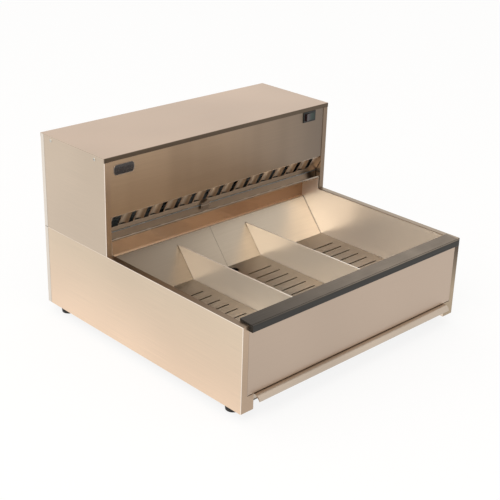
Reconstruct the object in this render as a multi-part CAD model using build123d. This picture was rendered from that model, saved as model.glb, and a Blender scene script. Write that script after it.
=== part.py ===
from build123d import *
import os
from math import radians, sin, tan

# Counter-top warmer: a folded stainless cabinet with three open bins in front and a hood behind.
# The hood blows hot air over the bins; it returns through the slotted bin floors and a rear duct.
# Millimetres. +X right, -Y front, +Z up. The origin is the middle of the footprint, on the counter.

# ---- cabinet ----
BODY_W = 720.0           # over the side panels
BODY_D = 698.0           # front panel to rear panel
BODY_H = 202.0           # side panels, bottom edge to rim
HOOD_D = 247.0           # hood front to rear panel
HOOD_H = 234.0           # rim to the top cover
SHEET = 1.2              # cabinet sheet
BEND_R = 1.8             # outside radius of every fold
JOIN = 0.6               # shadow gap between neighbouring outside sheets
SLIP = 0.3               # gap between a loose piece and its seat
RIM_W = 16.5             # side panel's top flange
FRONT_FLANGE = 17.0      # side panel's front flange
BOTTOM_FLANGE = 56.0     # side panel's bottom flange, which carries the feet
RETURN_D = 12.0          # small return flanges
WRAP = 13.0              # side flanges of the rear panels
POST_W = 36.0            # corner posts beside the crumb tray
POST_H = 37.0
POST_D = 22.0

# ---- feet and fasteners ----
FOOT_H = 22.0
FOOT_R = 19.0
FOOT_TIP_R = 16.5
FOOT_TAPER_H = 17.6
FOOT_IN = 30.0           # foot centre to the side panel's face
FOOT_FROM_FRONT = 55.0
FOOT_FROM_REAR = 43.0
SCREW_R = 2.0
SCREW_HEAD_R = 4.0
SCREW_HEAD_H = 1.8
SCREW_LEN = 9.0
HEAD_CLEAR = 1.5         # round a screw's head in its recess

# ---- nosing, crumb tray ----
NOSING_D = 28.0          # front panel's face to the nosing's back
NOSING_OUT = 11.0        # overhang in front of the front panel
NOSING_RISE = 6.0        # above the rim, at the back
NOSING_FALL = 2.5        # the top slopes down this much to the front
NOSING_DROP = 13.0       # front leg below the rim
NOSING_R = 2.5
NOSING_GROOVE = 1.2
LIP_OUT = 17.0           # pull lip in front of the front panel
LIP_DROP = 13.0
TRAY_WALL_Y = 24.0       # tray's front wall behind the front panel's face
TRAY_DEPTH = 28.0        # height of the tray walls
TRAY_SIDE_GAP = 1.5
TRAY_SHEET = 1.0
KEEPER_W = 7.0

# ---- trough ----
FLOOR_H = 78.0           # slotted floors above the body's bottom edge
LEDGE_W = 12.0
SLOPE_TOP_H = 166.0      # top of the rear slope above the body's bottom edge
SLOPE_ANGLE = 50.3       # rear slope from the horizontal
SLOPE_FLANGE = 5.0
SLOPE_GAP = 1.5          # dark joint between the slope and the side wall
DUCT_D = 187.5           # return duct, front wall to rear panel
FLOOR_SHEET = 1.5
FLOOR_GAP = 0.8
SLOT_L = 80.0            # slots of the floors
SLOT_W = 4.0
SLOT_BRIDGE = 12.0       # between the ends of neighbouring slots
SLOT_PITCH = 30.0        # from row to row
FLOOR_EDGE = 18.0        # least plain border round the slots
LIFT_HOLE_R = 11.0
DIVIDER_T = 1.2
HEM_T = 3.2
HEM_H = 9.0
DIVIDER_FRONT_H = 157.0  # divider's top edge above the body's bottom edge, at its two ends
DIVIDER_REAR_H = 152.0
DIVIDER_GAP = 1.0
RAIL_W = 36.0
RAIL_SLOT_D = 8.0
RAIL_SLIP = 0.35
RAIL_FOLD_R = 0.4

# ---- hood ----
COVER_LIP = 10.4
COVER_FLANGE = 18.0
COVER_SCREW_FRONT = 36.0  # cover screws behind the hood front, and ahead of the rear panel
COVER_SCREW_REAR = 42.0
HOOD_FLANGE = 15.5
PANEL_BOTTOM_H = 92.0    # hood front panel's bottom edge above the rim
UNDER_H = 31.0           # hood's underside above the rim
DECK_H = 42.0            # hood deck above the rim
LEDGE_NOSE = 2.5         # lower air ledge's edge behind the hood front
LEDGE_LIP = 5.0          # turned down at that edge
GRILLE_BACK = 28.5       # grille's bottom edge behind the hood front
GRILLE_SHEET = 1.0
VANE_PITCH = 45.0
VANE_W = 31.0
VANE_RISE = 4.5
VANE_LEFT = 44.3         # middle of the first vane from the bins' left wall
VANE_RIGHT = 50.0        # least distance of the last vane from the right wall
GRILLE_TOP_RAIL = 2.5    # plain borders above and below the slots
GRILLE_FOOT_RAIL = 17.0
GRILLE_END_RAIL = 5.0
PLENUM_D = 80.0          # hot-air plenum behind the hood front
PLENUM_DROP = 20.0       # plenum's roof below the switch
CLIP_W = 26.0
CLIP_H = 12.0
CLIP_FOOT = 8.0
CLIP_STAND = 4.0         # clip's bend in front of the grille's foot
CLIP_T = 1.0
CLIP_X = -43.5
BADGE_W = 56.5
BADGE_H = 24.0
BADGE_T = 1.2
BADGE_CORNER_R = 8.0
BADGE_FROM_SIDE = 50.7   # badge centre from the end of the hood's front sheet
BADGE_DROP = 33.0        # badge centre below the top cover

# ---- rocker switch ----
SWITCH_FROM_SIDE = 65.4  # switch centre from the end of the hood's front sheet
SWITCH_DROP = 24.6       # switch centre below the top cover
SWITCH_W = 44.0
SWITCH_H = 27.0
BEZEL_T = 2.5
BEZEL_RIM = 4.0
SWITCH_BODY_D = 24.0
ROCKER_GAP = 0.4
ROCKER_TILT = 8.0
ROCKER_RISE = 3.2
ROCKER_DISH = 2.2
ROCKER_DRAFT = 1.2       # the rocker narrows this much at each end of its face
ROCKER_KEEL_W = 8.0
ROCKER_KEEL_H = 5.0
SWITCH_TAB_X = 9.0
SWITCH_TAB_W = 6.3
SWITCH_TAB_T = 0.8
SWITCH_TAB_L = 8.0
PIVOT_R = 1.5
PIVOT_CLEAR = 0.05
PIVOT_SEAT = 1.5         # the pin's length inside each wall of the well
PIVOT_IN = 3.0           # pivot axis behind the hood front panel's face

# ---- blowers and heater ----
BLOWER_W = 70.0
BLOWER_SHEET = 1.5
BLOWER_FROM_REAR = 100.0
SCROLL_R0 = 57.0         # blower's axis to the scroll at its cut-off, and at its sole
SCROLL_R1 = 82.0
CUTOFF_DROP = 20.0       # cut-off below the axis
WHEEL_R = 50.0
WHEEL_INNER_R = 41.0
WHEEL_GAP = 4.0
BLADES = 16
BLADE_T = 1.0
BLADE_RAKE = 5.0         # outer edge of each blade, ahead of its inner edge
HUB_R = 9.0
HUB_L = 12.0
HUB_CLEAR = 1.0
SHAFT_R = 4.0
SHAFT_CLEAR = 0.05
INLET_R = 39.0
MOTOR_R = 36.0
MOTOR_L = 58.0
MOTOR_EDGE = 4.0
MOTOR_FLANGE_W = 6.0
MOTOR_FLANGE_T = 4.0
SHAFT_IN_MOTOR = 22.0
HEATER_R = 4.0
HEATER_H = 60.0          # element above the deck
HEATER_FROM_SIDE = 56.0
HEATER_BEND = 14.0
HEATER_TAIL = 25.0       # ends of the element behind the plenum
HANGER_T = 2.0
HANGER_EDGE = 12.0       # hanger's plate round the element's passes
RETURN_W = 150.0         # return-air opening in the deck
FITTINGS_X = 70.0        # thermostat and terminals inside the right hood side
THERMOSTAT_FROM_REAR = 110.0
THERMOSTAT_W = 36.0
THERMOSTAT_H = 30.0
THERMOSTAT_R = 3.0
STEM_L = 12.0
TERMINALS_FROM_REAR = 50.0
TERMINAL_WAYS = 5
TERMINAL_PITCH = 12.0
TERMINAL_D = 22.0
TERMINAL_H = 9.0
BARRIER_H = 16.0
BARRIER_T = 2.0

# ---- rear fittings ----
GLAND_OUT = 16.0
GLAND_R = 11.0
GLAND_FLANGE_T = 5.0
GLAND_DOME_R = 8.6
GLAND_DOME_EDGE = 2.5
GLAND_STEM_R = 7.7
GLAND_IN = 14.0          # stem behind the rear panel's face
GLAND_BORE_R = 4.5
GLAND_FROM_SIDE = 86.4
GLAND_H = 30.0           # above the rim
LOUVRE_L = 70.0
LOUVRE_H = 6.0
LOUVRE_OUT = 4.0
LOUVRE_PITCH = 14.0
LOUVRES = 6

# ---- planes worked out from the sizes above ----
X_OUT = BODY_W / 2
X_IN = X_OUT - SHEET
Y_FRONT = LIP_OUT - (LIP_OUT + BODY_D + GLAND_OUT) / 2
Y_REAR = Y_FRONT + BODY_D
Y_HOOD = Y_REAR - HOOD_D
Z_BODY = FOOT_H
Z_RIM = Z_BODY + BODY_H
Z_TOP = Z_RIM + HOOD_H
LINER_X = X_OUT - FRONT_FLANGE
LINER_IN = LINER_X - SHEET
Y_LINER = Y_FRONT + NOSING_D + SHEET
Z_FLOOR = Z_BODY + FLOOR_H
Y_DUCT = Y_REAR - DUCT_D
Z_SLOPE = Z_BODY + SLOPE_TOP_H
Y_SLOPE_TOP = Y_DUCT - SLOPE_FLANGE
Y_SLOPE_FOOT = Y_SLOPE_TOP - (Z_SLOPE - Z_FLOOR) / tan(radians(SLOPE_ANGLE))
Z_UNDER = Z_RIM + UNDER_H
Z_DECK = Z_RIM + DECK_H
Z_PANEL = Z_RIM + PANEL_BOTTOM_H
Y_PANEL = Y_HOOD + SHEET
Y_GRILLE_FOOT = Y_HOOD + GRILLE_BACK
Y_PLENUM = Y_HOOD + PLENUM_D
Z_BASE = Z_BODY + SHEET
Z_TRAY = Z_BASE + SHEET + SLIP
Z_TRAY_TOP = Z_TRAY + TRAY_DEPTH
TRAY_X = X_OUT - POST_W - TRAY_SIDE_GAP
Y_TRAY = Y_FRONT + TRAY_WALL_Y
Y_BLOWER = Y_REAR - BLOWER_FROM_REAR
Z_BLOWER = Z_DECK + SHEET + SCROLL_R1
Z_SWITCH = Z_TOP - SWITCH_DROP
Z_PLENUM = Z_SWITCH - SWITCH_H / 2 - PLENUM_DROP
HOOD_IN = X_IN - 2 * SHEET
DIVIDER_X = LINER_IN / 3
BADGE_X = BADGE_FROM_SIDE - HOOD_IN
SWITCH_X = HOOD_IN - SWITCH_FROM_SIDE
BLOWER_X = HOOD_IN / 3
HEATER_X = HOOD_IN - HEATER_FROM_SIDE
HANGER_X = HEATER_X * 2 / 3
GLAND_X = HOOD_IN - GLAND_FROM_SIDE
LOUVRE_X = BLOWER_X + BLOWER_W / 2


# ---- small helpers for folded sheet ----
def along_x(face, low, high):
    """Carries a face drawn in Y and Z from one X to another."""
    return extrude(Plane.YZ.offset(low) * face, high - low)


def along_y(face, low, high):
    """Carries a face drawn in X and Z from one Y to another."""
    return extrude(Plane.XZ.offset(-high) * face, high - low)


def along_z(face, low, high):
    """Carries a face drawn in X and Y from one Z to another."""
    return extrude(Plane.XY.offset(low) * face, high - low)


def block(x0, x1, y0, y1, z0, z1):
    """A box given by its faces."""
    size = (x1 - x0, y1 - y0, z1 - z0)
    return Pos((x0 + x1) / 2, (y0 + y1) / 2, (z0 + z1) / 2) * Box(*size)


def folded(points, side, thick=SHEET, radius=BEND_R):
    """Section of a sheet folded along a line, with its thickness to one side of the line."""
    line = FilletPolyline(*points, radius=radius)
    return make_face(offset(line, thick, side=side, closed=True))


def outline(*points):
    return make_face(Polyline(*points, close=True))


def joined(*solids):
    """One solid from pieces that meet."""
    whole = solids[0]
    for solid in solids[1:]:
        whole = whole + solid
    return whole


def left_and_right(shape, name):
    """Both hands of a piece that is drawn on the right."""
    return {name + "_right": shape, name + "_left": mirror(shape, about=Plane.YZ)}


def screw(at, out):
    """Pan-head screw whose head stands on the point `at` and points along `out`."""
    head, shank = extrude(Circle(SCREW_HEAD_R), SCREW_HEAD_H), extrude(Circle(SCREW_R), -SCREW_LEN)
    return Plane(origin=at, z_dir=out) * joined(head, shank)


# ---- body ----
def side_panel():
    """Right side panel: web, rim flange, front flange with the corner post, bottom flange, rear tab."""
    web = block(X_IN, X_OUT, Y_FRONT, Y_REAR - WRAP - JOIN, Z_BODY, Z_RIM)
    rim = block(X_OUT - RIM_W, X_OUT, Y_FRONT, Y_REAR - WRAP - JOIN, Z_RIM - SHEET, Z_RIM)
    front = block(X_OUT - FRONT_FLANGE, X_OUT, Y_FRONT, Y_FRONT + SHEET, Z_BODY, Z_RIM)
    inner = block(LINER_X, LINER_X + SHEET, Y_FRONT, Y_FRONT + RETURN_D, Z_BODY + POST_H, Z_RIM - SHEET)
    post = block(X_OUT - POST_W, X_OUT, Y_FRONT, Y_FRONT + SHEET, Z_BODY, Z_BODY + POST_H)
    cheek = block(X_OUT - POST_W, X_OUT - POST_W + SHEET, Y_FRONT, Y_FRONT + POST_D, Z_BODY, Z_BODY + POST_H)
    sill = block(X_OUT - POST_W, X_OUT, Y_FRONT, Y_FRONT + POST_D, Z_BODY, Z_BASE)
    bottom = block(X_OUT - BOTTOM_FLANGE, X_OUT, Y_FRONT + POST_D, Y_REAR - WRAP - JOIN, Z_BODY, Z_BASE)
    tab = block(X_IN - SHEET, X_IN, Y_REAR - WRAP - RETURN_D, Y_REAR - SHEET, Z_BASE, Z_RIM - SHEET)
    panel = joined(web, rim, front, inner, post, cheek, sill, bottom, tab)
    folds = panel.edges().filter_by(Axis.Z).group_by(Axis.X)[-1].group_by(Axis.Y)[0]
    folds += panel.edges().filter_by(Axis.Y).group_by(Axis.X)[-1].group_by(Axis.Z)[-1]
    panel = fillet(folds, BEND_R)
    foot_holes = [Pos(X_OUT - FOOT_IN, y, Z_BODY) * Cylinder(SCREW_R + SLIP, 4 * SHEET)
                  for y in (Y_FRONT + FOOT_FROM_FRONT, Y_REAR - FOOT_FROM_REAR)]
    return panel - foot_holes


def front_panel():
    """Flat front sheet with return flanges on all four edges, the top one under the nosing."""
    side = LINER_X - JOIN / 2
    low, high = Z_BODY + POST_H + JOIN, Z_RIM
    section = folded([(Y_FRONT + RETURN_D, low), (Y_FRONT, low), (Y_FRONT, high),
                      (Y_FRONT + NOSING_D, high)], Side.RIGHT)
    sheet = along_x(section, -side, side)
    cheeks = [block(x - SHEET / 2, x + SHEET / 2, Y_FRONT, Y_FRONT + RETURN_D, low, high - SHEET)
              for x in (side - SHEET / 2, SHEET / 2 - side)]
    return joined(sheet, *cheeks)


def front_nosing():
    """Black bumper along the front edge: a cap over the front panel's top fold, with a front leg."""
    y0, y1 = Y_FRONT - NOSING_OUT, Y_FRONT + NOSING_D
    low, high = Z_RIM - NOSING_DROP, Z_RIM + NOSING_RISE
    section = outline((y0, low), (y0, high - NOSING_FALL), (y1, high), (y1, Z_RIM),
                      (Y_FRONT, Z_RIM), (Y_FRONT, low))
    front_edges = section.vertices().group_by(Axis.X)[0]
    section = fillet(front_edges, NOSING_R)
    bar = along_x(section, -(LINER_X - JOIN), LINER_X - JOIN)
    groove_y = y0 + NOSING_R + NOSING_GROOVE
    groove = block(-X_OUT, X_OUT, groove_y, groove_y + NOSING_GROOVE, high - NOSING_FALL - NOSING_GROOVE / 2,
                   high + NOSING_RISE)
    return bar - groove


def base_pan():
    """Bottom sheet on the side panels' bottom flanges, with an upstand along each side."""
    side, y0, y1 = X_IN - SHEET, Y_FRONT + POST_D + JOIN, Y_REAR - SHEET - JOIN
    pan = block(-side, side, y0, y1, Z_BASE, Z_BASE + SHEET)
    skirts = [block(x - SHEET / 2, x + SHEET / 2, Y_FRONT + 2 * POST_D, y1 - WRAP - RETURN_D, Z_BASE,
                    Z_BASE + RETURN_D) for x in (side - SHEET / 2, SHEET / 2 - side)]
    foot_holes = [Pos(x, y, Z_BASE) * Cylinder(SCREW_R + SLIP, 4 * SHEET) for x, y in foot_places()]
    return joined(pan, *skirts) - foot_holes


def foot_places():
    """Plan positions of the four feet."""
    return [(x, y) for y in (Y_FRONT + FOOT_FROM_FRONT, Y_REAR - FOOT_FROM_REAR)
            for x in (FOOT_IN - X_OUT, X_OUT - FOOT_IN)]


def foot(x, y):
    """Moulded rubber foot: a tapered drum with a recess for its screw."""
    profile = outline((0, 0), (FOOT_TIP_R, 0), (FOOT_R, FOOT_TAPER_H), (FOOT_R, FOOT_H), (0, FOOT_H))
    drum = revolve(Plane.XZ * profile, Axis.Z)
    recess_h = FOOT_H - SCREW_LEN / 2
    recess = Pos(0, 0, recess_h / 2) * Cylinder(SCREW_HEAD_R + HEAD_CLEAR, recess_h)
    stem = Cylinder(SCREW_R + SLIP, 4 * FOOT_H)
    return Pos(x, y, 0) * (drum - recess - stem)


def rear_panel(low, high, wing_top, shelf):
    """Flat rear sheet with side flanges in the side panels' planes and one fold turned inward."""
    web = block(-X_OUT, X_OUT, Y_REAR - SHEET, Y_REAR, low, high)
    web = fillet(web.edges().filter_by(Axis.Z).group_by(Axis.Y)[-1], BEND_R / 2)
    wings = [block(x - SHEET / 2, x + SHEET / 2, Y_REAR - WRAP, Y_REAR - SHEET, low, wing_top)
             for x in (X_OUT - SHEET / 2, SHEET / 2 - X_OUT)]
    fold = block(-HOOD_IN, HOOD_IN, Y_REAR - RETURN_D, Y_REAR - SHEET, shelf, shelf + SHEET)
    return joined(web, fold, *wings)


# ---- crumb tray ----
def crumb_tray():
    """Full-width crumb tray whose front edge is curled into the pull lip, closed at its ends."""
    y0, y1 = Y_TRAY, Y_SLOPE_FOOT
    tub = block(-TRAY_X, TRAY_X, y0, y1, Z_TRAY, Z_TRAY_TOP)
    inside = block(TRAY_SHEET - TRAY_X, TRAY_X - TRAY_SHEET, y0 + TRAY_SHEET, y1 - TRAY_SHEET,
                   Z_TRAY + TRAY_SHEET, Z_TRAY_TOP + TRAY_SHEET)
    tub -= inside
    lip_top = Z_BODY + POST_H - JOIN
    tip_y, bend_y = Y_FRONT - LIP_OUT, Y_FRONT - LIP_OUT + LIP_DROP
    top = Line((y0 + TRAY_SHEET, lip_top), (bend_y, lip_top))
    curl = RadiusArc((bend_y, lip_top), (tip_y, lip_top - LIP_DROP), -LIP_DROP)
    section = make_face(offset(Wire([top, curl]), TRAY_SHEET, side=Side.LEFT, closed=True))
    lip = along_x(section, -TRAY_X, TRAY_X)
    closed_end = make_face([curl, Line(curl @ 1, curl @ 0)])
    ends = [along_x(closed_end, x, x + TRAY_SHEET) for x in (-TRAY_X, TRAY_X - TRAY_SHEET)]
    riser = block(-TRAY_X, TRAY_X, y0, y0 + TRAY_SHEET, Z_TRAY_TOP - TRAY_SHEET, lip_top)
    return joined(tub, riser, lip, *ends)


def crumb_guide():
    """Right guide: a Z-section on the base pan whose top leg keeps the tray from tipping."""
    web_x = TRAY_X + SLIP * 2
    keeper = Z_TRAY_TOP + SLIP * 2
    foot_x = web_x + RETURN_D
    section = folded([(foot_x, Z_BASE + SHEET), (web_x, Z_BASE + SHEET), (web_x, keeper),
                      (web_x - KEEPER_W, keeper)], Side.RIGHT)
    return along_y(section, Y_FRONT + FOOT_FROM_FRONT + 3 * SCREW_HEAD_R, Y_SLOPE_FOOT)


# ---- trough ----
def front_liner():
    """Front wall of the bins: hangs under the front panel's top fold and ends in the floor ledge."""
    section = folded([(Y_LINER + LEDGE_W, Z_FLOOR), (Y_LINER, Z_FLOOR), (Y_LINER, Z_RIM - SHEET),
                      (Y_LINER - LEDGE_W, Z_RIM - SHEET)], Side.LEFT)
    return along_x(section, -LINER_IN, LINER_IN)


def side_liner():
    """Right wall of the bins, with a tongue that closes the gap under the hood."""
    web = outline((Y_LINER - SHEET, Z_FLOOR - SHEET), (Y_DUCT + SHEET, Z_FLOOR - SHEET),
                  (Y_DUCT + SHEET, Z_UNDER), (Y_HOOD + 2 * SHEET, Z_UNDER),
                  (Y_HOOD + 2 * SHEET, Z_RIM - SHEET), (Y_LINER - SHEET, Z_RIM - SHEET))
    wall = along_x(web, LINER_IN, LINER_X)
    hanger = block(LINER_X, LINER_X + LEDGE_W, Y_LINER, Y_HOOD + 2 * SHEET, Z_RIM - 2 * SHEET, Z_RIM - SHEET)
    ledge = block(LINER_IN - LEDGE_W, LINER_IN, Y_LINER + LEDGE_W, Y_SLOPE_FOOT - LEDGE_W,
                  Z_FLOOR - SHEET, Z_FLOOR)
    return joined(wall, hanger, ledge)


def slope_panel():
    """Right half of the sloping rear wall, from the floor ledge up to the duct wall."""
    section = folded([(Y_DUCT, Z_SLOPE), (Y_SLOPE_TOP, Z_SLOPE), (Y_SLOPE_FOOT, Z_FLOOR),
                      (Y_SLOPE_FOOT - LEDGE_W, Z_FLOOR)], Side.LEFT)
    return along_x(section, JOIN / 2, LINER_IN - SLOPE_GAP)


def duct_wall():
    """Upright wall between the gap under the hood and the return duct."""
    section = folded([(Y_DUCT + RETURN_D, Z_SLOPE - RETURN_D), (Y_DUCT, Z_SLOPE - RETURN_D),
                      (Y_DUCT, Z_DECK), (Y_DUCT + RETURN_D, Z_DECK)], Side.RIGHT)
    return along_x(section, -LINER_IN, LINER_IN)


def floor_rail(x):
    """Rail under a divider: two flanges carry the floors, the slot between them holds the divider."""
    half = DIVIDER_T / 2 + RAIL_SLIP
    deep = Z_FLOOR - RAIL_SLOT_D - SLIP
    section = folded([(-RAIL_W / 2, Z_FLOOR), (-half, Z_FLOOR), (-half, deep), (half, deep),
                      (half, Z_FLOOR), (RAIL_W / 2, Z_FLOOR)], Side.RIGHT, radius=RAIL_FOLD_R)
    return Pos(x, 0, 0) * along_y(section, Y_LINER + LEDGE_W, Y_SLOPE_FOOT - LEDGE_W)


def bin_floor(x0, x1):
    """Slotted floor sheet with two finger holes, lying on the ledges and rails."""
    y0, y1 = Y_LINER + FLOOR_GAP, Y_SLOPE_FOOT - FLOOR_GAP
    plate = block(x0, x1, y0, y1, Z_FLOOR + SLIP, Z_FLOOR + SLIP + FLOOR_SHEET)
    across = SLOT_L + SLOT_BRIDGE
    columns = int((x1 - x0 - 2 * FLOOR_EDGE + SLOT_BRIDGE) / across)
    rows = int((y1 - y0 - 2 * FLOOR_EDGE - 4 * LIFT_HOLE_R) / SLOT_PITCH)
    middle = Pos((x0 + x1) / 2, (y0 + y1) / 2, Z_FLOOR)
    slots = middle * GridLocations(across, SLOT_PITCH, columns, rows) * Box(SLOT_L, SLOT_W, 6 * SHEET)
    hole_y = (y1 - y0) / 2 - FLOOR_EDGE - LIFT_HOLE_R / 2
    holes = middle * GridLocations(1, 2 * hole_y, 1, 2) * Cylinder(LIFT_HOLE_R, 6 * SHEET)
    return plate - slots - holes


def divider(x):
    """Upright sheet between two bins, hemmed along its top and raked along the rear slope."""
    y0 = Y_LINER + DIVIDER_GAP
    z0 = Z_FLOOR + SLIP
    back = DIVIDER_GAP / sin(radians(SLOPE_ANGLE))
    front_top, rear_top = Z_BODY + DIVIDER_FRONT_H, Z_BODY + DIVIDER_REAR_H
    y_foot = Y_SLOPE_FOOT - back
    y_top = y_foot + (rear_top - Z_FLOOR) / tan(radians(SLOPE_ANGLE))
    tab0, tab1 = Y_LINER + LEDGE_W + DIVIDER_GAP, Y_SLOPE_FOOT - LEDGE_W - DIVIDER_GAP
    sheet = outline((y0, z0), (tab0, z0), (tab0, Z_FLOOR - RAIL_SLOT_D), (tab1, Z_FLOOR - RAIL_SLOT_D),
                    (tab1, z0), (y_foot, z0), (y_top, rear_top), (y0, front_top))
    hem = outline((y0, front_top - HEM_H), (y_top - HEM_H, rear_top - HEM_H), (y_top, rear_top),
                  (y0, front_top))
    bead = along_x(hem, -HEM_T / 2, HEM_T / 2)
    bead = fillet(bead.faces().sort_by(Axis.Z)[-1].edges().filter_by(Axis.X, reverse=True), HEM_T * 0.4)
    return Pos(x, 0, 0) * joined(along_x(sheet, -DIVIDER_T / 2, DIVIDER_T / 2), bead)


# ---- hood ----
def hood_side():
    """Right hood side: web, front flange, bottom flange on the rim, rear tab."""
    top = Z_TOP - SHEET
    web = block(X_IN, X_OUT, Y_HOOD, Y_REAR - WRAP - JOIN, Z_RIM, top)
    front = block(X_OUT - HOOD_FLANGE, X_OUT, Y_HOOD, Y_HOOD + SHEET, Z_RIM, top)
    bottom = block(X_OUT - HOOD_FLANGE, X_OUT, Y_HOOD, Y_REAR - WRAP - JOIN, Z_RIM, Z_RIM + SHEET)
    tab = block(X_IN - SHEET, X_IN, Y_REAR - WRAP - RETURN_D, Y_REAR - SHEET, Z_RIM + SHEET,
                top - COVER_FLANGE)
    panel = joined(web, front, bottom, tab)
    panel = fillet(panel.edges().filter_by(Axis.Z).group_by(Axis.X)[-1].group_by(Axis.Y)[0], BEND_R)
    lip_notch = block(X_OUT - HOOD_FLANGE - SHEET, X_OUT + SHEET, Y_HOOD - SHEET, Y_HOOD + SHEET + JOIN,
                      Z_TOP - COVER_LIP - JOIN, Z_TOP)
    holes = [Pos(X_OUT, y, Z_TOP - COVER_LIP) * Rot(0, 90, 0) * Cylinder(SCREW_R + SLIP, 4 * SHEET)
             for y in hood_screw_places()]
    return panel - lip_notch - holes


def hood_screw_places():
    """The two screws on each side that hold the top cover."""
    return (Y_HOOD + COVER_SCREW_FRONT, Y_REAR - COVER_SCREW_REAR)


def top_cover():
    """Flat top with a lip down the front and rear and flanges inside the hood sides."""
    section = folded([(Y_HOOD, Z_TOP - COVER_LIP), (Y_HOOD, Z_TOP), (Y_REAR, Z_TOP),
                      (Y_REAR, Z_TOP - COVER_LIP)], Side.RIGHT)
    sheet = along_x(section, -X_OUT, X_OUT)
    low, high = Z_TOP - COVER_FLANGE, Z_TOP - SHEET / 2
    wings = [block(x - SHEET / 2, x + SHEET / 2, Y_HOOD + 4 * SHEET, Y_REAR - 4 * SHEET, low, high)
             for x in (X_IN - SHEET / 2, SHEET / 2 - X_IN)]
    holes = [Pos(0, y, Z_TOP - COVER_LIP) * Rot(0, 90, 0) * Cylinder(SCREW_R + SLIP / 3, 2 * X_OUT)
             for y in hood_screw_places()]
    return joined(sheet, *wings) - holes


def hood_front():
    """Front sheet of the hood, behind the side flanges and the cover's lip, with the switch cut-out."""
    low, high = Z_PANEL, Z_TOP - 2 * SHEET
    section = folded([(Y_PANEL, low), (Y_PANEL, high), (Y_PANEL + RETURN_D, high)], Side.RIGHT)
    sheet = along_x(section, -HOOD_IN, HOOD_IN)
    hole_w, hole_h = SWITCH_W - 2 * SHEET, SWITCH_H - 2 * SHEET
    return sheet - Pos(SWITCH_X, Y_PANEL, Z_SWITCH) * Box(hole_w, 4 * SHEET, hole_h)


def grille_plane():
    """Local frame of the sloping part of the grille: X along it, Y down its slope, Z out of it."""
    top = Vector(0, Y_PANEL + SHEET, Z_PANEL)
    foot_point = Vector(0, Y_GRILLE_FOOT, Z_DECK + SHEET)
    down = (foot_point - top).normalized()
    out = Vector(1, 0, 0).cross(down)
    return Plane(origin=(top + foot_point) / 2, x_dir=(1, 0, 0), z_dir=out), (foot_point - top).length


def vane_places():
    """X of each vane: evenly pitched, with the wide bay at the left end."""
    first, last = VANE_LEFT - LINER_IN, LINER_IN - VANE_RIGHT
    return [first + i * VANE_PITCH for i in range(int((last - first) / VANE_PITCH) + 1)]


def diffuser_grille():
    """Sloping plate under the hood front: a row of bowed vanes with an air slot between neighbours."""
    y0, y1 = Y_PANEL + SHEET, Y_GRILLE_FOOT
    z0, z1 = Z_DECK + SHEET, Z_PANEL
    section = folded([(y0, z1 + RETURN_D), (y0, z1), (y1, z0), (y1 + RETURN_D, z0)], Side.LEFT, GRILLE_SHEET)
    plate = along_x(section, -HOOD_IN, HOOD_IN)
    plane, slope = grille_plane()
    first, last = GRILLE_END_RAIL - LINER_IN, vane_places()[-1] + VANE_PITCH - VANE_W / 2
    reach, foot_y = slope - GRILLE_TOP_RAIL - GRILLE_FOOT_RAIL, slope / 2 - GRILLE_FOOT_RAIL
    window = Box(last - first, reach, 8 * GRILLE_SHEET)
    plate -= plane * Pos((first + last) / 2, foot_y - reach / 2, 0) * window
    half, rise = VANE_W / 2, VANE_RISE
    bow = ThreePointArc((-half, 0), (0, rise), (half, 0))
    skin = make_face(offset(bow, GRILLE_SHEET, side=Side.RIGHT, closed=True))
    vane = plane * extrude(Plane.XZ.offset(-foot_y) * skin, reach)
    return joined(plate, *[Pos(x, 0, 0) * vane for x in vane_places()])


def grille_clip():
    """Clip near the middle of the grille: its foot lies on the air ledge, its tongue guards the vanes."""
    plane, _ = grille_plane()
    up = (-plane.y_dir.Y, -plane.y_dir.Z)
    nose, top = (Y_HOOD + LEDGE_NOSE, Z_UNDER + LEDGE_LIP), (Y_GRILLE_FOOT, Z_DECK)
    length = ((top[0] - nose[0]) ** 2 + (top[1] - nose[1]) ** 2) ** 0.5
    slope = ((nose[0] - top[0]) / length, (nose[1] - top[1]) / length)
    bend = (top[0] + slope[0] * CLIP_STAND, top[1] + slope[1] * CLIP_STAND)
    foot_end = (bend[0] + slope[0] * CLIP_FOOT, bend[1] + slope[1] * CLIP_FOOT)
    tip = (bend[0] + up[0] * CLIP_H, bend[1] + up[1] * CLIP_H)
    section = folded([foot_end, bend, tip], Side.LEFT, CLIP_T, 2 * CLIP_T)
    return along_x(section, CLIP_X - CLIP_W / 2, CLIP_X + CLIP_W / 2)


def air_ledge():
    """Polished ledge under the grille, with a lip turned down at its front and the hood's underside below."""
    nose = Y_HOOD + LEDGE_NOSE
    section = folded([(Y_DUCT, Z_UNDER), (nose, Z_UNDER), (nose, Z_UNDER + LEDGE_LIP),
                      (Y_GRILLE_FOOT, Z_DECK), (Y_GRILLE_FOOT + RETURN_D, Z_DECK)], Side.RIGHT)
    return along_x(section, -HOOD_IN, HOOD_IN)


def hood_deck():
    """Shelf that carries the blowers, with the return-air opening behind."""
    plate = block(-HOOD_IN, HOOD_IN, Y_GRILLE_FOOT - SHEET, Y_REAR - RETURN_D - JOIN, Z_DECK, Z_DECK + SHEET)
    opening = block(-RETURN_W / 2, RETURN_W / 2, Y_DUCT + 2 * RETURN_D, Y_REAR - 3 * RETURN_D,
                    Z_DECK - SHEET, Z_DECK + 2 * SHEET)
    legs = [block(x - SHEET / 2, x + SHEET / 2, Y_DUCT + RETURN_D, Y_REAR - 3 * RETURN_D, Z_RIM + SHEET,
                  Z_DECK) for x in (HOOD_IN - SHEET / 2, SHEET / 2 - HOOD_IN)]
    return joined(plate, *legs) - opening


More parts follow.
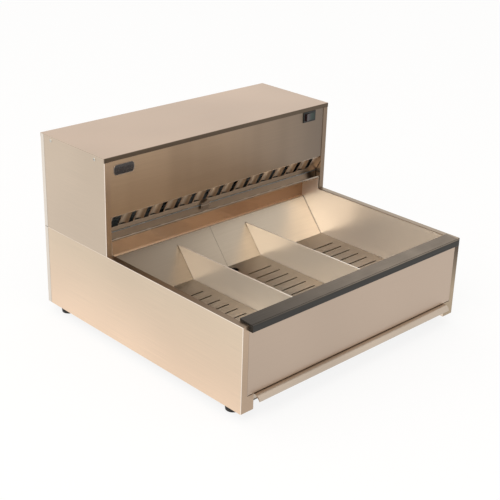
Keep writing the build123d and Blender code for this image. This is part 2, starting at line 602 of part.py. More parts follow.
def plenum():
    """Hot-air plenum: a back wall and roof that close the space behind the grille."""
    side = HOOD_IN
    y0, y1 = Y_PANEL + SHEET, Y_PLENUM
    z0, z1 = Z_DECK + SHEET, Z_PLENUM
    section = folded([(y1 - RETURN_D, z0), (y1, z0), (y1, z1), (y0, z1), (y0, z1 - RETURN_D)], Side.LEFT)
    wall = along_x(section, -side, side)
    ends = [block(x - SHEET / 2, x + SHEET / 2, Y_GRILLE_FOOT + 2 * RETURN_D, y1 - SHEET, z0 + SHEET,
                  z1 - SHEET) for x in (side - SHEET / 2, SHEET / 2 - side)]
    mouth_low, mouth_high = Z_BLOWER - SCROLL_R1 + BLOWER_SHEET, Z_BLOWER - CUTOFF_DROP - BLOWER_SHEET
    mouths = [block(x - BLOWER_W / 2 + BLOWER_SHEET, x + BLOWER_W / 2 - BLOWER_SHEET, y1 - 2 * SHEET,
                    y1 + SHEET, mouth_low + SHEET, mouth_high) for x in (-BLOWER_X, BLOWER_X)]
    tails = [Pos(x, y1, Z_DECK + HEATER_H) * Rot(90, 0, 0) * Cylinder(HEATER_R + SLIP, 6 * SHEET)
             for x in (-HEATER_X, HEATER_X)]
    return joined(wall, *ends) - mouths - tails


def scroll_face(wall, mouth):
    """Scroll and outlet in Y and Z from the blower's axis, drawn `wall` inside the outer skin.
    Three quarter arcs whose radius grows by the same step; each centre lies on the corner of a square."""
    step = (SCROLL_R1 - SCROLL_R0) / 3
    half, first = step / 2, SCROLL_R0 + step / 2 - wall
    front, top = (half - first, half), (half, half + first)
    back, sole = (half + first + step, -half), (-half, -half - first - 2 * step)
    ceiling = -CUTOFF_DROP - wall
    arcs = [RadiusArc(front, top, first), RadiusArc(top, back, first + step),
            RadiusArc(back, sole, first + 2 * step)]
    duct = Polyline(sole, (mouth, sole[1]), (mouth, ceiling), (front[0], ceiling), front)
    return make_face([*arcs, duct])


def blower_housing():
    """Right blower's sheet-metal scroll, open at its inlet eye and at its outlet."""
    low, high = BLOWER_X - BLOWER_W / 2, BLOWER_X + BLOWER_W / 2
    mouth = Y_PLENUM - Y_BLOWER
    shell = along_x(scroll_face(0, mouth), low, high)
    inner = along_x(scroll_face(BLOWER_SHEET, mouth - BLOWER_SHEET), low + BLOWER_SHEET, high - BLOWER_SHEET)
    eye = Pos(low, 0, 0) * Rot(0, 90, 0) * Cylinder(INLET_R, 6 * BLOWER_SHEET)
    shaft_hole = Pos(high, 0, 0) * Rot(0, 90, 0) * Cylinder(HUB_R + HUB_CLEAR, 6 * BLOWER_SHEET)
    return Pos(0, Y_BLOWER, Z_BLOWER) * (shell - inner - eye - shaft_hole)


def blower_wheel():
    """Right blower's squirrel-cage wheel on its shaft, which ends inside the motor."""
    low = BLOWER_X - BLOWER_W / 2 + BLOWER_SHEET + WHEEL_GAP
    high = BLOWER_X + BLOWER_W / 2 - BLOWER_SHEET - WHEEL_GAP
    ring = along_x(Circle(WHEEL_R) - Circle(WHEEL_INNER_R), low, low + 2 * BLOWER_SHEET)
    disc = along_x(Circle(WHEEL_R), high - BLOWER_SHEET, high)
    hub = along_x(Circle(HUB_R), high - HUB_L, high)
    shaft = along_x(Circle(SHAFT_R), high - HUB_L - SHAFT_R, BLOWER_X + BLOWER_W / 2 + SHAFT_IN_MOTOR)
    inner, outer = WHEEL_INNER_R + BLADE_T / 2, WHEEL_R - BLADE_T
    blade = along_x(outline((inner, 0), (inner, BLADE_T), (outer, BLADE_RAKE + BLADE_T), (outer, BLADE_RAKE)),
                    low + 2 * BLOWER_SHEET, high - BLOWER_SHEET)
    blades = [Rot(360.0 * i / BLADES, 0, 0) * blade for i in range(BLADES)]
    return Pos(0, Y_BLOWER, Z_BLOWER) * joined(ring, disc, hub, shaft, *blades)


def blower_motor():
    """Right blower's motor, flanged to the housing, with the bore for the shaft."""
    x0 = BLOWER_X + BLOWER_W / 2
    can = along_x(Circle(MOTOR_R), x0 + MOTOR_FLANGE_T, x0 + MOTOR_L)
    can = chamfer(can.edges().group_by(Axis.X)[-1], MOTOR_EDGE)
    flange = along_x(Circle(MOTOR_R + MOTOR_FLANGE_W), x0, x0 + MOTOR_FLANGE_T)
    bore = along_x(Circle(SHAFT_R + SHAFT_CLEAR), x0 - MOTOR_FLANGE_T, x0 + SHAFT_IN_MOTOR + SHAFT_R / 2)
    return Pos(0, Y_BLOWER, Z_BLOWER) * (joined(can, flange) - bore)


def heater_line():
    """Y of the element's long run, between the grille and the plenum's back wall."""
    return (Y_PANEL + Y_PLENUM) / 2 + HEATER_BEND


def heater():
    """Tubular element: one long run across the plenum, its ends turned out through the back wall."""
    y, z, tail = heater_line(), Z_DECK + HEATER_H, Y_PLENUM + HEATER_TAIL
    path = FilletPolyline((-HEATER_X, tail, z), (-HEATER_X, y, z), (HEATER_X, y, z), (HEATER_X, tail, z),
                          radius=HEATER_BEND)
    return sweep(Plane(origin=path @ 0, z_dir=path % 0) * Circle(HEATER_R), path=path)


def heater_brackets():
    """Two upright hangers that hold the element off the plenum's back wall."""
    y, z = heater_line(), Z_DECK + HEATER_H
    plate = block(-HANGER_T / 2, HANGER_T / 2, y - HANGER_EDGE, Y_PLENUM - SHEET, z - HANGER_EDGE,
                  z + HANGER_EDGE)
    plate -= Pos(0, y, z) * Rot(0, 90, 0) * Cylinder(HEATER_R, 4 * HANGER_T)
    return [Pos(x, 0, 0) * plate for x in (-HANGER_X, HANGER_X)]


# ---- controls and fittings ----
def switch_housing():
    """Snap-in switch case: a bezel on the panel's face and a box behind it, with the rocker's well."""
    face = Y_PANEL
    bezel = block(-SWITCH_W / 2, SWITCH_W / 2, face - BEZEL_T, face, -SWITCH_H / 2, SWITCH_H / 2)
    bezel = chamfer(bezel.edges().group_by(Axis.Y)[0], BEZEL_T * 0.3)
    hw, hh = SWITCH_W / 2 - SHEET - SLIP, SWITCH_H / 2 - SHEET - SLIP
    case = block(-hw, hw, face, face + SWITCH_BODY_D, -hh, hh)
    ww, wh = SWITCH_W / 2 - BEZEL_RIM, SWITCH_H / 2 - BEZEL_RIM
    well = block(-ww, ww, face - 2 * BEZEL_T, face + SWITCH_BODY_D * 0.5, -wh, wh)
    pivot = Pos(0, face + PIVOT_IN, 0) * Cylinder(PIVOT_R + PIVOT_CLEAR, 2 * (wh + PIVOT_SEAT + ROCKER_GAP))
    back = face + SWITCH_BODY_D
    tabs = [block(x - SWITCH_TAB_W / 2, x + SWITCH_TAB_W / 2, back, back + SWITCH_TAB_L, -SWITCH_TAB_T / 2,
                  SWITCH_TAB_T / 2) for x in (-SWITCH_TAB_X, SWITCH_TAB_X)]
    return Pos(SWITCH_X, 0, Z_SWITCH) * joined(bezel, case, *tabs).cut(well, pivot)


def rocker():
    """Rocker with a dished face, tilted on its upright pivot so that its right half is pressed."""
    w, h = SWITCH_W / 2 - BEZEL_RIM - ROCKER_GAP, SWITCH_H / 2 - BEZEL_RIM - ROCKER_GAP
    axis_y = Y_PANEL + PIVOT_IN
    rise = BEZEL_T + PIVOT_IN + ROCKER_RISE
    tip, waist, keel = w - ROCKER_DRAFT, w - ROCKER_DRAFT / 2, ROCKER_KEEL_W / 2
    dish = ThreePointArc((-tip, -rise), (0, ROCKER_DISH - rise), (tip, -rise))
    sides = Polyline((tip, -rise), (waist, -ROCKER_DRAFT), (keel, ROCKER_KEEL_H), (-keel, ROCKER_KEEL_H),
                     (-waist, -ROCKER_DRAFT), (-tip, -rise))
    body = along_z(make_face([dish, sides]), -h, h)
    pin = Cylinder(PIVOT_R, 2 * (SWITCH_H / 2 - BEZEL_RIM + PIVOT_SEAT))
    return Pos(SWITCH_X, axis_y, Z_SWITCH) * Rot(0, 0, ROCKER_TILT) * joined(body, pin)


def badge_plate():
    """Plain rounded plate at the left of the hood front."""
    plate = extrude(RectangleRounded(BADGE_W, BADGE_H, BADGE_CORNER_R), BADGE_T)
    plate = chamfer(plate.edges().group_by(Axis.Z)[-1], BADGE_T / 3)
    return Plane(origin=(BADGE_X, Y_PANEL, Z_TOP - BADGE_DROP), x_dir=(1, 0, 0), z_dir=(0, -1, 0)) * plate


def cable_gland():
    """Strain-relief gland in the rear panel: hex flange, dome nut and the bore for a cable."""
    flange = extrude(RegularPolygon(GLAND_R, 6), GLAND_FLANGE_T)
    dome = chamfer(extrude(Circle(GLAND_DOME_R), GLAND_OUT).edges().group_by(Axis.Z)[-1], GLAND_DOME_EDGE)
    stem = extrude(Circle(GLAND_STEM_R), -GLAND_IN)
    nut = Pos(0, 0, -SHEET) * extrude(RegularPolygon(GLAND_R, 6), -GLAND_FLANGE_T)
    gland = joined(flange, dome, stem, nut) - Cylinder(GLAND_BORE_R, 4 * GLAND_OUT)
    return Plane(origin=(GLAND_X, Y_REAR, Z_RIM + GLAND_H), x_dir=(1, 0, 0), z_dir=(0, 1, 0)) * gland


def hood_rear():
    """Hood's rear panel with two banks of pressed louvres and the gland's hole."""
    low, high = Z_RIM + JOIN, Z_TOP - COVER_LIP - JOIN
    panel = rear_panel(low, high, Z_TOP - SHEET, Z_DECK)
    scoop = outline((0, 0), (LOUVRE_OUT, 0), (SHEET, LOUVRE_H), (0, LOUVRE_H))
    slot = block(2 * SHEET - LOUVRE_L / 2, LOUVRE_L / 2 - 2 * SHEET, -2 * SHEET, LOUVRE_OUT - SHEET,
                 -SHEET / 2, LOUVRE_H / 2)
    first = Z_BLOWER - (LOUVRES - 1) / 2 * LOUVRE_PITCH
    for x in (-LOUVRE_X, LOUVRE_X):
        for i in range(LOUVRES):
            place = Pos(x, Y_REAR, first + i * LOUVRE_PITCH)
            panel = panel + place * along_x(scoop, -LOUVRE_L / 2, LOUVRE_L / 2)
            panel = panel - place * slot
    hole = Pos(GLAND_X, Y_REAR, Z_RIM + GLAND_H) * Rot(90, 0, 0) * Cylinder(GLAND_STEM_R + SLIP, 6 * SHEET)
    return panel - hole


def thermostat():
    """Capillary thermostat body on the deck, with its stem, beside the right motor."""
    x, y, half = X_IN - FITTINGS_X, Y_REAR - THERMOSTAT_FROM_REAR, THERMOSTAT_W / 2
    low, high = Z_DECK + SHEET, Z_DECK + SHEET + THERMOSTAT_H
    case = block(x - half, x + half, y - half, y + half, low, high)
    case = fillet(case.edges().filter_by(Axis.Z), THERMOSTAT_R)
    return joined(case, Pos(x, y, high + STEM_L / 2) * Cylinder(THERMOSTAT_R, STEM_L))


def terminal_block():
    """Ceramic terminal strip on the deck: a base with upright barriers between its screws."""
    low, half = Z_DECK + SHEET, TERMINAL_WAYS * TERMINAL_PITCH / 2
    base = block(-half, half, -TERMINAL_D / 2, TERMINAL_D / 2, low, low + TERMINAL_H)
    barrier = block(-BARRIER_T / 2, BARRIER_T / 2, -TERMINAL_D / 2, TERMINAL_D / 2, low, low + BARRIER_H)
    barriers = [Pos(i * TERMINAL_PITCH - half, 0, 0) * barrier for i in range(TERMINAL_WAYS + 1)]
    return Pos(X_IN - FITTINGS_X, Y_REAR - TERMINALS_FROM_REAR, 0) * joined(base, *barriers)


def insulation_side():
    """Mineral-fibre board between the right side panel and the bin's wall."""
    return block(LINER_X, X_IN, Y_LINER + RETURN_D, Y_REAR - WRAP - 2 * RETURN_D, Z_FLOOR, Z_RIM - 2 * SHEET)


def insulation_front():
    """Mineral-fibre board between the front panel and the bins' front wall."""
    side = LINER_X - JOIN / 2 - SHEET
    return block(-side, side, Y_FRONT + SHEET, Y_LINER - SHEET, Z_FLOOR, Z_RIM - 2 * SHEET - BEND_R)


# ---- whole warmer ----
def assemble():
    """Every sub-part under its own name."""
    nodes = {}
    nodes |= left_and_right(side_panel(), "side_panel")
    nodes |= left_and_right(crumb_guide(), "crumb_guide")
    nodes |= left_and_right(side_liner(), "side_liner")
    nodes |= left_and_right(slope_panel(), "slope_panel")
    nodes |= left_and_right(hood_side(), "hood_side")
    nodes |= left_and_right(blower_housing(), "blower_housing")
    nodes |= left_and_right(blower_wheel(), "blower_wheel")
    nodes |= left_and_right(blower_motor(), "blower_motor")
    nodes |= left_and_right(insulation_side(), "side_insulation")
    nodes["front_panel"] = front_panel()
    nodes["front_nosing"] = front_nosing()
    nodes["base_pan"] = base_pan()
    nodes["body_rear_panel"] = rear_panel(Z_BODY, Z_RIM - JOIN, Z_RIM - JOIN, Z_BODY)
    nodes["crumb_tray"] = crumb_tray()
    nodes["front_liner"] = front_liner()
    nodes["front_insulation"] = insulation_front()
    nodes["duct_wall"] = duct_wall()
    edge, half = LINER_IN - FLOOR_GAP, HEM_T / 2 + FLOOR_GAP
    nodes["bin_floor_left"] = bin_floor(-edge, -DIVIDER_X - half)
    nodes["bin_floor_centre"] = bin_floor(half - DIVIDER_X, DIVIDER_X - half)
    nodes["bin_floor_right"] = bin_floor(DIVIDER_X + half, edge)
    for x, hand in ((-DIVIDER_X, "left"), (DIVIDER_X, "right")):
        nodes["divider_" + hand] = divider(x)
        nodes["floor_rail_" + hand] = floor_rail(x)
    for (x, y), place in zip(foot_places(), ("front_left", "front_right", "rear_left", "rear_right")):
        nodes["foot_" + place] = foot(x, y)
    nodes["top_cover"] = top_cover()
    nodes["hood_front"] = hood_front()
    nodes["hood_rear"] = hood_rear()
    nodes["diffuser_grille"] = diffuser_grille()
    nodes["grille_clip"] = grille_clip()
    nodes["air_ledge"] = air_ledge()
    nodes["hood_deck"] = hood_deck()
    nodes["plenum"] = plenum()
    nodes["heater"] = heater()
    nodes["heater_brackets"] = heater_brackets()
    nodes["switch_housing"] = switch_housing()
    nodes["rocker"] = rocker()
    nodes["badge_plate"] = badge_plate()
    nodes["cable_gland"] = cable_gland()
    nodes["thermostat"] = thermostat()
    nodes["terminal_block"] = terminal_block()
    nodes["cover_screws"] = [screw((x, y, Z_TOP - COVER_LIP), (x, 0, 0)) for x in (-X_OUT, X_OUT)
                             for y in hood_screw_places()]
    nodes["foot_screws"] = [screw((x, y, FOOT_H - SCREW_LEN / 2), (0, 0, -1)) for x, y in foot_places()]
    return nodes


def write(nodes):
    os.makedirs("parts", exist_ok=True)
    for name, shape in nodes.items():
        whole = Compound(children=shape) if isinstance(shape, list) else shape
        export_step(whole, "parts/" + name + ".step")


write(assemble())
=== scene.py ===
import math

import bmesh
import bpy
from mathutils import Matrix, Vector


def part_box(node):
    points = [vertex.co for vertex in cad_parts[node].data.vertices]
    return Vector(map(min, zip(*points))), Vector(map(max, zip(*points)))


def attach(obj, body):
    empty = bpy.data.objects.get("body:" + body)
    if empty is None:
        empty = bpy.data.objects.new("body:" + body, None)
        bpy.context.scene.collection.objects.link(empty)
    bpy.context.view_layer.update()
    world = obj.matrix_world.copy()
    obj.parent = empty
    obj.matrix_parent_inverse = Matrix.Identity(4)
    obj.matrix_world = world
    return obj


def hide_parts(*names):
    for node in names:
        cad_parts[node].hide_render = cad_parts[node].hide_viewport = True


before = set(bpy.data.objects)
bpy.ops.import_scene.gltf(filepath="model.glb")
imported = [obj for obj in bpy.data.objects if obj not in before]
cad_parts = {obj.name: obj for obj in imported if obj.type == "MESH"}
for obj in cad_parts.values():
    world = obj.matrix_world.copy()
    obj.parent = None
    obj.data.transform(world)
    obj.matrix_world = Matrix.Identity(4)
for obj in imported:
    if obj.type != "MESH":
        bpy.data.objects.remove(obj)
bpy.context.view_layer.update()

# A counter-top warmer of folded stainless sheet. Metres, with the model's own axes: +X right, -Y front, +Z up.
# Each section below dresses one piece or one group of like pieces, in the order in which they are put together.


# ---- floor and lamps ----
# A sheet of white paper on a table, in an evenly lit white room, with one large soft lamp high on the left.
# The paper keeps the warmer's soft shadow. The eye, and polished steel, sees the rest of it as plain white.
PAPER_W = 60.0
PAPER_GLOW = 0.84                      # share of the white that doesn't depend on the shadow
ROOM_LIGHT = 0.92                      # what the room gives to matt surfaces; the eye and polish see plain white


def linear(hex_colour):
    """The linear colour that a shader or lamp takes, from an sRGB hex value."""
    parts = [int(hex_colour[i:i + 2], 16) / 255 for i in (1, 3, 5)]
    return (*[p / 12.92 if p <= 0.04045 else ((p + 0.055) / 1.055) ** 2.4 for p in parts], 1.0)


def add_node(tree, kind, sockets=None, **settings):
    """Adds a shader node. Settings are its own choices; sockets are values or links, by name or place."""
    node = tree.nodes.new("ShaderNode" + kind)
    for name, value in settings.items():
        setattr(node, name, value)
    for name, value in (sockets or {}).items():
        if isinstance(value, bpy.types.NodeSocket):
            tree.links.new(value, node.inputs[name])
        else:
            node.inputs[name].default_value = value
    return node


def new_material(name):
    """An empty material and its node tree."""
    material = bpy.data.materials.new(name)
    material.use_nodes = True
    material.node_tree.nodes.clear()
    return material, material.node_tree


def seen_directly(tree):
    """1 for what the eye, polish or glass sees, and 0 for light that only falls on matt surfaces."""
    rays = add_node(tree, "LightPath")
    seen = rays.outputs["Is Camera Ray"]
    for kind in ("Is Glossy Ray", "Is Transmission Ray"):
        seen = add_node(tree, "Math", {0: seen, 1: rays.outputs[kind]}, operation="MAXIMUM").outputs[0]
    return seen


def white_paper():
    """Matt paper whose glow, for the eye and for reflections, is white at full strength."""
    paper, tree = new_material("white_paper")
    share = add_node(tree, "Math", {0: seen_directly(tree), 1: PAPER_GLOW}, operation="MULTIPLY").outputs[0]
    matt = add_node(tree, "BsdfDiffuse", {"Color": linear("#F8F7F5")})
    glow = add_node(tree, "Emission", {"Color": linear("#FFFFFF"), "Strength": 1.0})
    mix = add_node(tree, "MixShader", {0: share, 1: matt.outputs[0], 2: glow.outputs[0]})
    add_node(tree, "OutputMaterial", {"Surface": mix.outputs[0]})
    return paper


floor_mesh = bpy.data.meshes.new("floor")
half = PAPER_W / 2
floor_mesh.from_pydata([(-half, -half, 0), (half, -half, 0), (half, half, 0), (-half, half, 0)], [], [(0, 1, 2, 3)])
floor_mesh.materials.append(white_paper())
floor = bpy.data.objects.new("floor", floor_mesh)
bpy.context.scene.collection.objects.link(floor)

room = bpy.data.worlds.new("white_room")
room.use_nodes = True
room.node_tree.nodes.clear()
strength = add_node(room.node_tree, "MapRange", {"Value": seen_directly(room.node_tree), "To Min": ROOM_LIGHT,
                                                 "To Max": 1.0}).outputs[0]
sky = add_node(room.node_tree, "Background", {"Color": linear("#FFFDFA"), "Strength": strength})
add_node(room.node_tree, "OutputWorld", {"Surface": sky.outputs[0]})
bpy.context.scene.world = room
bpy.context.scene.view_settings.view_transform = "Standard"


def soft_lamp(name, place, aim, width, height, watts, hex_colour):
    """A softbox that points at a place on the warmer."""
    lamp = bpy.data.lights.new(name, "AREA")
    lamp.shape = "RECTANGLE"
    lamp.size, lamp.size_y = width, height
    lamp.energy = watts
    lamp.color = linear(hex_colour)[:3]
    holder = bpy.data.objects.new(name, lamp)
    holder.location = place
    holder.rotation_euler = (Vector(aim) - Vector(place)).to_track_quat("-Z", "Y").to_euler()
    bpy.context.scene.collection.objects.link(holder)


KEY_PLACE, KEY_AIM = (-3.0, -0.9, 3.3), (0, 0, 0.2)
KEY_SIZE, KEY_WATTS = 2.6, 62.0
soft_lamp("key_lamp", KEY_PLACE, KEY_AIM, KEY_SIZE, KEY_SIZE, KEY_WATTS, "#FFF6EC")


# ---- feet ----
# Four tapered feet of moulded black rubber under the side panels' bottom flanges, each held by one screw
# through its recess. The mould leaves them dull, with a fine leathery grain.
MIX_A, MIX_B, MIX_OUT = 6, 7, 2        # places of a Mix node's colour sockets
NOISE_LOW, NOISE_HIGH = 0.3, 0.7       # nearly all of a noise texture's values lie between these
RUBBED_GAIN, RUBBED_LIFT = 1.35, 0.004  # how much paler the tops of a mould's grain are rubbed
GLOSS_SWING = 0.06                     # how far the grain moves the roughness, to each side


def dress(material, *nodes):
    """Gives CAD nodes a material."""
    for node in nodes:
        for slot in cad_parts[node].material_slots:
            slot.material = material


def mixed(tree, share, first, second):
    """The colour socket of a mix of two colours or sockets."""
    sockets = {0: share, MIX_A: first, MIX_B: second}
    return add_node(tree, "Mix", sockets, data_type="RGBA").outputs[MIX_OUT]


def moulded(name, hex_colour, roughness, grain_mm, grain_depth_mm, coat=0.0):
    """Moulded rubber or plastic: one pigment, with the mould's fine grain in its gloss and surface."""
    material, tree = new_material(name)
    place = add_node(tree, "TexCoord").outputs["Object"]
    grain = add_node(tree, "TexNoise", {"Vector": place, "Scale": 1000 / grain_mm, "Detail": 3.0}).outputs[0]
    base = linear(hex_colour)
    rubbed = (*[min(1.0, c * RUBBED_GAIN + RUBBED_LIFT) for c in base[:3]], 1.0)
    tone = mixed(tree, grain, base, rubbed)
    gloss = add_node(tree, "MapRange", {"Value": grain, "From Min": NOISE_LOW, "From Max": NOISE_HIGH,
                                        "To Min": roughness - GLOSS_SWING,
                                        "To Max": roughness + GLOSS_SWING}).outputs[0]
    bump = add_node(tree, "Bump", {"Height": grain, "Distance": grain_depth_mm / 1000}).outputs[0]
    skin = add_node(tree, "BsdfPrincipled", {"Base Color": tone, "Roughness": gloss, "Normal": bump,
                                             "Coat Weight": coat})
    add_node(tree, "OutputMaterial", {"Surface": skin.outputs[0]})
    return material


FEET = ("foot_front_left", "foot_front_right", "foot_rear_left", "foot_rear_right")
black_rubber = moulded("black_moulded_rubber", "#1C1B1A", 0.72, 1.2, 0.12)
dress(black_rubber, *FEET)


# ---- base pan and tray guides ----
# Hot-dip galvanised steel sheet, as cut and folded. The zinc freezes in flat crystals, the spangle, which
# differ a little in grey and in gloss; real ones are 5 to 10 mm across.
SPANGLE_MM = 8.0


def galvanised(name, pale, dark):
    """Zinc-coated sheet: crystals of two greys, with a rough and dull skin."""
    material, tree = new_material(name)
    place = add_node(tree, "TexCoord").outputs["Object"]
    crystals = add_node(tree, "TexVoronoi", {"Vector": place, "Scale": 1000 / SPANGLE_MM}).outputs["Color"]
    grey = add_node(tree, "RGBToBW", {0: crystals}).outputs[0]
    tone = mixed(tree, grey, linear(dark), linear(pale))
    gloss = add_node(tree, "MapRange", {"Value": grey, "To Min": 0.36, "To Max": 0.52}).outputs[0]
    zinc = add_node(tree, "BsdfPrincipled", {"Base Color": tone, "Metallic": 1.0, "Roughness": gloss})
    add_node(tree, "OutputMaterial", {"Surface": zinc.outputs[0]})
    return material


galvanised_sheet = galvanised("galvanised_steel", "#C4C6C4", "#9B9E9D")
dress(galvanised_sheet, "base_pan", "crumb_guide_left", "crumb_guide_right")


# ---- side panels, front panel and rear panel ----
# 304 stainless sheet with a number 4 finish: sanded along each sheet with a 150 grit belt, then folded.
# The sanding lines, about 0.1 mm apart, are drawn 1.2 mm wide so that they show; they smear its reflections.
X, Y, Z = 0, 1, 2
LINE_STRETCH = 120                     # a sanding line's length over its width
DARKEST = 0.93                         # a sheet's darkest lines and patches, as a share of its tone
LINE_WEIGHT, PATCH_WEIGHT = 0.4, 0.6   # the parts of the lines and of the patches in how the tone wavers
WAVER_LOW, WAVER_HIGH = 0.36, 0.64     # nearly all of the two together lies between these
LEVEL_FROM, LEVEL_FULL = 0.6, 0.9      # squared upward lean from which a face turns to the tone for up, and fully
FLAT, FOLDED = 0.9, 0.55               # fourth powers of the lean, summed: on a flat face, and halfway round a fold


def stainless(name, along, side, front, top, roughness, line_mm=1.2, line_depth_mm=0.02, patch_mm=(300, 300, 300),
              ripple_mm=0.2, metallic=1.0, bend=None, fade=(Z, 0.03, 0.20), darkest=DARKEST, gloss_share=0.15):
    """Stainless sheet whose lines run along one axis. Its faces have a tone each for sideways, forward and up,
    which paint how each face mirrors light and shade, and its folds may have a painted highlight of their own.
    A pair of tones fades, as a painted reflection, from the first to the second between two places."""
    material, tree = new_material(name)
    coordinates = add_node(tree, "TexCoord")
    place = coordinates.outputs["Object"]
    cells = [1000 / line_mm] * 3
    cells[along] /= LINE_STRETCH
    stretched = add_node(tree, "Mapping", {"Vector": place, "Scale": cells}).outputs[0]
    lines = add_node(tree, "TexNoise", {"Vector": stretched, "Scale": 1.0, "Detail": 2.0}).outputs[0]
    cloud = add_node(tree, "Mapping", {"Vector": place, "Scale": [1000 / size for size in patch_mm]}).outputs[0]
    patches = add_node(tree, "TexNoise", {"Vector": cloud, "Scale": 1.0, "Detail": 1.0}).outputs[0]

    axis, start, end = fade
    travel = add_node(tree, "SeparateXYZ", {0: place}).outputs[axis]
    way = add_node(tree, "MapRange", {"Value": travel, "From Min": start, "From Max": end}).outputs[0]
    side, front, top = (linear(tone) if isinstance(tone, str) else
                        mixed(tree, way, linear(tone[0]), linear(tone[1])) for tone in (side, front, top))
    normal = coordinates.outputs["Normal"]
    squares = add_node(tree, "VectorMath", {0: normal, 1: normal}, operation="MULTIPLY").outputs[0]
    facing = add_node(tree, "SeparateXYZ", {0: squares}).outputs
    level = add_node(tree, "MapRange", {"Value": facing["Z"], "From Min": LEVEL_FROM,
                                        "From Max": LEVEL_FULL}).outputs[0]
    # Painted reflection: each face takes the tone for the way it faces, in place of the light and shade it mirrors.
    tone = mixed(tree, level, mixed(tree, facing["X"], front, side), top)
    # Painted highlight along the folds.
    if bend:
        fourths = add_node(tree, "VectorMath", {0: squares, 1: squares}, operation="DOT_PRODUCT").outputs["Value"]
        folded = add_node(tree, "MapRange", {"Value": fourths, "From Min": FLAT, "From Max": FOLDED}).outputs[0]
        tone = mixed(tree, folded, tone, linear(bend))

    fine = add_node(tree, "Math", {0: lines, 1: LINE_WEIGHT}, operation="MULTIPLY").outputs[0]
    both = add_node(tree, "Math", {0: patches, 1: PATCH_WEIGHT, 2: fine}, operation="MULTIPLY_ADD").outputs[0]
    shade = add_node(tree, "MapRange", {"Value": both, "From Min": WAVER_LOW, "From Max": WAVER_HIGH,
                                        "To Min": darkest, "To Max": 2 - darkest}).outputs[0]
    colour = add_node(tree, "VectorMath", {0: tone, 3: shade}, operation="SCALE").outputs[0]
    gloss = add_node(tree, "MapRange", {"Value": lines, "From Min": NOISE_LOW, "From Max": NOISE_HIGH,
                                        "To Min": roughness * (1 - gloss_share),
                                        "To Max": roughness * (1 + gloss_share)}).outputs[0]
    ripple = add_node(tree, "Bump", {"Height": patches, "Distance": ripple_mm / 1000}).outputs[0]
    relief = add_node(tree, "Bump", {"Height": lines, "Distance": line_depth_mm / 1000,
                                     "Normal": ripple}).outputs[0]
    steel = add_node(tree, "BsdfPrincipled", {"Base Color": colour, "Metallic": metallic,
                                              "Roughness": gloss, "Normal": relief})
    add_node(tree, "OutputMaterial", {"Surface": steel.outputs[0]})
    return material


POLISHED = "#FFF4E8"                   # painted highlight on the folds, where the bend catches the light
# Painted reflection: the left side fades from peach at the bottom to pale beige higher up, the right panel's front
# flange is painted darker towards the top, and the darker forward and upward tones are painted shade.
brushed_body = stainless("number_4_stainless", Y, ("#F0D5BB", "#DAC7B0"), "#BAA38D", "#8E7C6A", 0.33, bend=POLISHED)
brushed_right = stainless("number_4_stainless_right", Y, ("#E9D6C3", "#D3C2B0"), ("#A8967F", "#4C3F34"), "#A39381",
                          0.33, bend=POLISHED, fade=(Z, 0.09, 0.205))
brushed_front = stainless("number_4_stainless_front", X, "#D8C8B8", "#BDAA99", "#BFAE9B", 0.36, darkest=0.96)
brushed_rear = stainless("number_4_stainless_rear", X, "#E4DBD0", "#C6B9AC", "#BFAE9B", 0.36)
dress(brushed_body, "side_panel_left")
dress(brushed_right, "side_panel_right")
dress(brushed_front, "front_panel")
dress(brushed_rear, "body_rear_panel", "hood_rear")


# ---- front bin wall, side bin walls and duct wall ----
# Bright annealed stainless sheet, left as rolled because it wipes clean. It mirrors its neighbours, softly,
# with faint rolling lines.
# Painted light and shade: the side liners are pale, the front liner a little darker and their upward edges dark; the
# duct wall's brown, more orange towards the right, is a painted reflection of its neighbours.
bright_liner = stainless("bright_annealed_stainless", Y, "#FAF1E6", "#DCD0C2", "#83766A", 0.26, 4.0, 0.0,
                         (200, 200, 200), 0.3, metallic=0.65, darkest=0.99, gloss_share=0.02)
bright_duct = stainless("bright_annealed_stainless_duct", X, "#BFA28A", ("#BFA28A", "#B18E73"), "#BFA28A",
                        0.26, 4.0, 0.0, (200, 200, 200), 0.3, fade=(X, -0.2, 0.1), darkest=0.98, gloss_share=0.05)
dress(bright_liner, "side_liner_left", "side_liner_right", "front_liner")
dress(bright_duct, "duct_wall")


# ---- insulation ----
# Boards of resin-bonded mineral fibre between the panels and the bin walls. Matt, felted, pale yellow-green.
FELT_MM, FELT_DEPTH_MM = 4.0, 1.5      # a tuft's width, and how far it stands out


def mineral_board():
    """Fibres matted in all directions, which the eye reads as a soft mottle."""
    material, tree = new_material("mineral_fibre_board")
    place = add_node(tree, "TexCoord").outputs["Object"]
    felt = add_node(tree, "TexNoise", {"Vector": place, "Scale": 1000 / FELT_MM, "Detail": 6.0,
                                       "Roughness": 0.7, "Distortion": 1.5}).outputs[0]
    tone = mixed(tree, felt, linear("#A8985E"), linear("#D9CFA2"))
    bump = add_node(tree, "Bump", {"Height": felt, "Distance": FELT_DEPTH_MM / 1000}).outputs[0]
    fibre = add_node(tree, "BsdfPrincipled", {"Base Color": tone, "Roughness": 0.95, "Normal": bump,
                                              "Sheen Weight": 0.2})
    add_node(tree, "OutputMaterial", {"Surface": fibre.outputs[0]})
    return material


dress(mineral_board(), "front_insulation", "side_insulation_left", "side_insulation_right")


# ---- rear slopes, rails and slotted floors ----
# Stainless sheet with the mill's satin finish: pickled and lightly rolled, so it is even, grey and half matt.
# The two slope halves meet in the middle, and the floors lie loose on the rails and ledges.
SLOPE_ENDS = (X, -0.36, 0.36)          # the sheet's left and right ends, between which its tone fades
